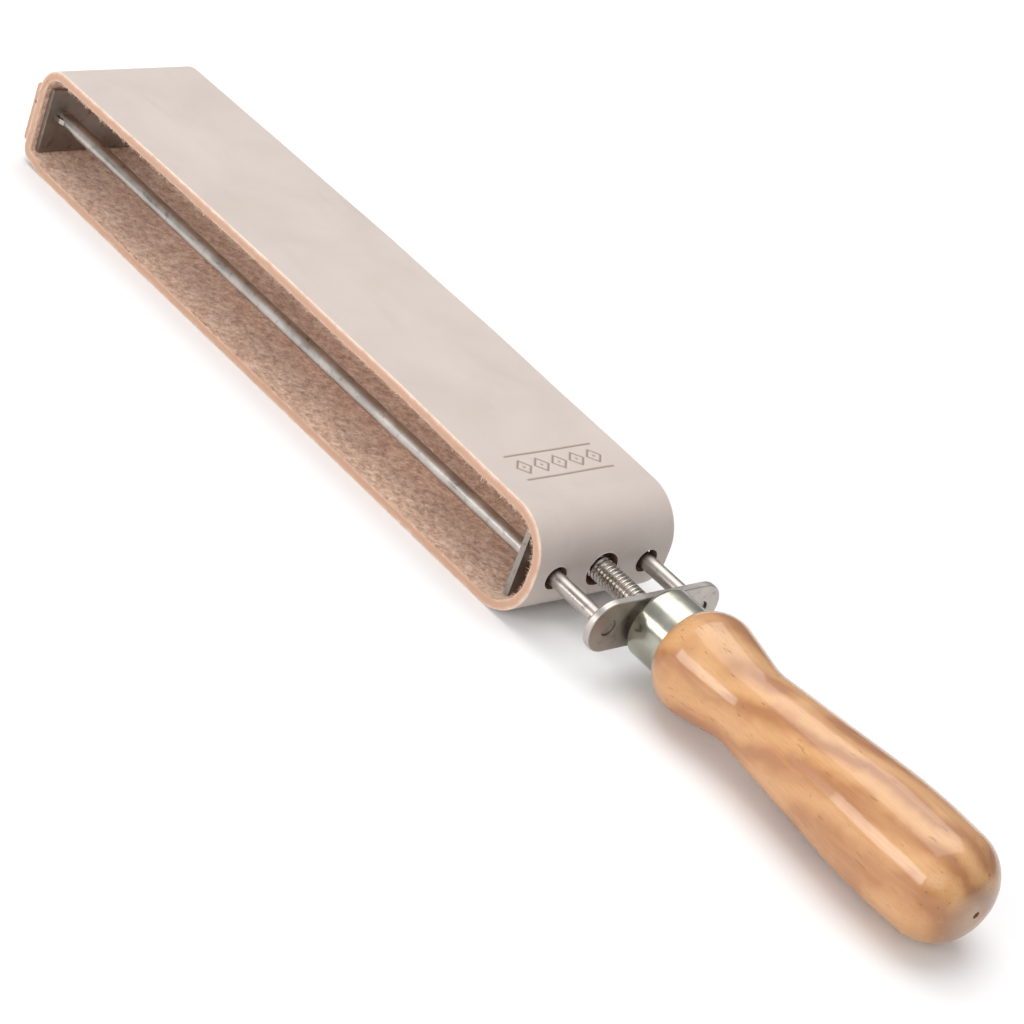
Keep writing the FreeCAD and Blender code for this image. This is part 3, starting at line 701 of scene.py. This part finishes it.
def ferrule_steel(name):
    """Plated drawn steel, polished, with shallow dents and hairline scratches round it."""
    look = Look(name, Metallic=1.0)
    place = look.place()
    dents = look.cells(place, 210.0)
    clouds = look.noise(place, 70.0, detail=3.0)
    hair = look.noise(look.place(scale=(1, 0.06, 0.06)), 3000.0, detail=2.0)
    colour = look.ramp(clouds, (0.3, srgb(150, 148, 134)), (0.7, srgb(196, 194, 182)))
    look.set("Base Color", look.mix(look.range(hair, 0.6, 0.8, 0.0, 0.3), colour, srgb(120, 118, 106)))
    normal = look.bump(look.range(dents, 0.0, 0.35), 0.10, 0.25)
    look.set("Normal", look.bump(hair, 0.08, 0.02, normal))
    look.set("Roughness", look.range(clouds, 0.3, 0.7, 0.16, 0.30))
    return look.material


def beech(name):
    """Turned beech under clear lacquer: soft annual rings, pale streaks and short dark flecks."""
    look = Look(name, Specular_IOR_Level=0.5, Coat_Weight=0.75, Coat_Roughness=0.11, Coat_IOR=1.5)
    tilt = (0.0, math.radians(7), math.radians(-9))
    tilted = look.place(rotation=tilt, move=(0.0, 0.021, -0.012))
    warp = look.noise(look.place(scale=(0.35, 1, 1)), 38.0, detail=2.0)
    rings = look.node("TexWave", {
        "Vector": tilted, "Scale": 34.0, "Distortion": 5.5, "Detail": 3.0, "Detail Scale": 1.3,
        "Detail Roughness": 0.5}, wave_type="RINGS", rings_direction="X").outputs["Fac"]
    streaks = look.noise(look.place(scale=(0.10, 1, 1)), 210.0, detail=4.0)
    pores = look.noise(look.place(scale=(0.05, 1, 1)), 1900.0, detail=2.0)
    wood = look.ramp(
        rings, (0.05, srgb(164, 108, 62)), (0.45, srgb(186, 132, 82)), (0.95, srgb(203, 152, 100)))
    warm = look.mix(look.range(warp, 0.42, 0.70, 0.0, 0.45), wood, srgb(178, 115, 62))
    pale = look.mix(look.range(streaks, 0.50, 0.72, 0.0, 0.35), warm, srgb(216, 168, 116))
    fibred = look.mix(look.range(pores, 0.50, 0.75, 0.0, 0.30), pale, srgb(170, 114, 64))
    flecks = look.noise(look.place(scale=(0.2, 1, 1), move=(0.3, 0.1, 0.2)), 1100.0, detail=1.0)
    sparse = look.noise(look.place(move=(0.5, 0.0, 0.1)), 120.0)
    dashes = look.math("MULTIPLY", look.range(flecks, 0.66, 0.72), look.range(sparse, 0.42, 0.55))
    flecked = look.mix(look.math("MULTIPLY", dashes, 0.55), fibred, srgb(134, 80, 40))
    end = look.range(look.split(look.place())["X"], BUTT_X - 2.2 * MM, BUTT_X - 0.6 * MM, 0.0, 0.55)
    look.set("Base Color", look.mix(end, flecked, srgb(150, 116, 90)))
    turning = look.node("TexWave", {
        "Vector": look.place(), "Scale": 190.0, "Distortion": 0.6, "Detail": 2.0},
        wave_type="BANDS", bands_direction="X").outputs["Fac"]
    normal = look.bump(turning, 0.05, 0.05)
    normal = look.bump(pores, 0.10, 0.05, normal)
    look.set("Normal", look.bump(warp, 0.10, 0.5, normal))
    look.set("Coat Normal", look.bump(warp, 0.10, 0.5, look.bump(turning, 0.04, 0.05)))
    look.set("Roughness", look.range(streaks, 0.3, 0.7, 0.38, 0.50))
    return look.material


# ---- pieces ---------------------------------------------------------------------------------------------

def dress_node(node, material):
    """Gives a CAD node its finish."""
    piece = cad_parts[node]
    if not piece.material_slots:
        piece.data.materials.append(material)
    for slot in piece.material_slots:
        slot.material = material


def dress_steel():
    bright, mid, dull = srgb(196, 189, 182), srgb(163, 156, 149), srgb(138, 130, 123)
    grime = srgb(72, 60, 52)
    rods = steel("rod_satin", bright, mid, 0.34, scratch=0.35, dirt=grime)
    plates = steel("plate_rolled", mid, dull, 0.42, scratch=0.2, stretch=(1, 0.05, 1), dirt=grime)
    crossbar = steel("crossbar_tumbled", bright, mid, 0.36, scratch=0.15, stretch=(1, 0.3, 1), dirt=grime)
    screw = steel("screw_cut", bright, mid, 0.24, scratch=0.2, stretch=(1, 0.2, 0.2), dirt=grime)
    turned = steel("nut_turned", bright, dull, 0.30, scratch=0.3, stretch=(1, 0.1, 0.1))
    for node, material in (
            ("rod_left", rods), ("rod_right", rods), ("far_plate", plates), ("near_plate", plates),
            ("crossbar", crossbar), ("spindle", screw), ("spindle_nut", turned), ("thrust_washer", turned)):
        dress_node(node, material)
    dress_node("ferrule", ferrule_steel("ferrule_polished"))


def dress_leather():
    grain = grain_leather("grain_side", srgb(198, 186, 178), srgb(189, 176, 167))
    edge = cut_edge_leather("cut_edge")
    suede = suede_leather("flesh_side")
    band = make_leather_band([grain, edge, suede, shaded_hole_wall("hole_wall")])
    fibres = make_rim_fibres(suede)
    patch = make_splice_patch([grain_leather("patch_face", srgb(206, 182, 162), srgb(186, 156, 134)), edge])
    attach(band, "frame")
    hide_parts("leather_band")
    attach(fibres, "frame")
    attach(patch, "frame")
    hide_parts("splice_patch")


# ---- floor, lights and camera -------------------------------------------------------------------

FLOOR_HALF_SIZE = 3.0
CAMERA_PLACE = Vector((0.49154, -0.57576, 0.43049))
CAMERA_AIM = Vector((0.0234, -0.00845, 0.0165))
CAMERA_ROLL_DEG = 20.9
CAMERA_LENS = 111.1


def make_floor():
    mesh = bpy.data.meshes.new("floor")
    reach = FLOOR_HALF_SIZE
    corners = [(-reach, -reach, 0), (reach, -reach, 0), (reach, reach, 0), (-reach, reach, 0)]
    mesh.from_pydata(corners, [], [(0, 1, 2, 3)])
    floor = bpy.data.objects.new("floor", mesh)
    bpy.context.scene.collection.objects.link(floor)
    look = Look("floor_white", Roughness=0.9)
    clouds = look.noise(look.place(), 3.0)
    look.set("Base Color", look.ramp(clouds, (0.3, (0.90, 0.90, 0.90, 1)), (0.7, (0.93, 0.93, 0.93, 1))))
    mesh.materials.append(look.material)


def add_area_light(name, place, aim, size, power, colour=(1, 1, 1)):
    lamp = bpy.data.lights.new(name, "AREA")
    lamp.shape = "RECTANGLE"
    lamp.size, lamp.size_y = size
    lamp.energy = power
    lamp.color = colour
    light = bpy.data.objects.new(name, lamp)
    light.location = place
    light.rotation_mode = "QUATERNION"
    light.rotation_quaternion = (Vector(aim) - Vector(place)).to_track_quat("-Z", "Y")
    bpy.context.scene.collection.objects.link(light)


def make_sky():
    """Soft studio surround: pale overhead, darker towards the horizon."""
    world = bpy.data.worlds.new("studio")
    world.use_nodes = True
    bpy.context.scene.world = world
    nodes, links = world.node_tree.nodes, world.node_tree.links
    coordinates = nodes.new("ShaderNodeTexCoord")
    split = nodes.new("ShaderNodeSeparateXYZ")
    ramp = nodes.new("ShaderNodeValToRGB")
    links.new(coordinates.outputs["Generated"], split.inputs["Vector"])
    links.new(split.outputs["Z"], ramp.inputs["Fac"])
    ramp.color_ramp.elements[0].position = 0.0
    ramp.color_ramp.elements[0].color = (0.22, 0.22, 0.22, 1)
    ramp.color_ramp.elements[1].position = 0.8
    ramp.color_ramp.elements[1].color = (0.85, 0.86, 0.88, 1)
    background = nodes["Background"]
    links.new(ramp.outputs["Color"], background.inputs["Color"])
    background.inputs["Strength"].default_value = 0.8


def make_lights():
    make_sky()
    middle = (0.0, 0.0, 0.03)
    add_area_light("key_overhead", (-0.25, 0.10, 1.1), middle, (1.1, 1.1), 9.5)
    add_area_light("fill_front", (0.9, -1.1, 0.7), middle, (0.9, 0.6), 2.5)
    add_area_light("inside_fill", (-0.15, -1.1, 0.38), (-0.06, 0.0, 0.01), (1.0, 0.4), 7.0)


def make_camera():
    data = bpy.data.cameras.new("camera")
    data.lens = CAMERA_LENS
    data.sensor_width = 36.0
    camera = bpy.data.objects.new("camera", data)
    camera.location = CAMERA_PLACE
    camera.rotation_mode = "QUATERNION"
    aim = (CAMERA_AIM - CAMERA_PLACE).to_track_quat("-Z", "Y")
    camera.rotation_quaternion = aim @ Quaternion((0, 0, 1), math.radians(CAMERA_ROLL_DEG))
    data.clip_start = 0.01
    data.clip_end = 20.0
    bpy.context.scene.collection.objects.link(camera)
    bpy.context.scene.camera = camera
    bpy.context.scene.view_settings.view_transform = "Standard"


make_camera()
make_lights()
make_floor()
dress_steel()
dress_leather()
dress_node("handle", beech("beech_lacquered"))
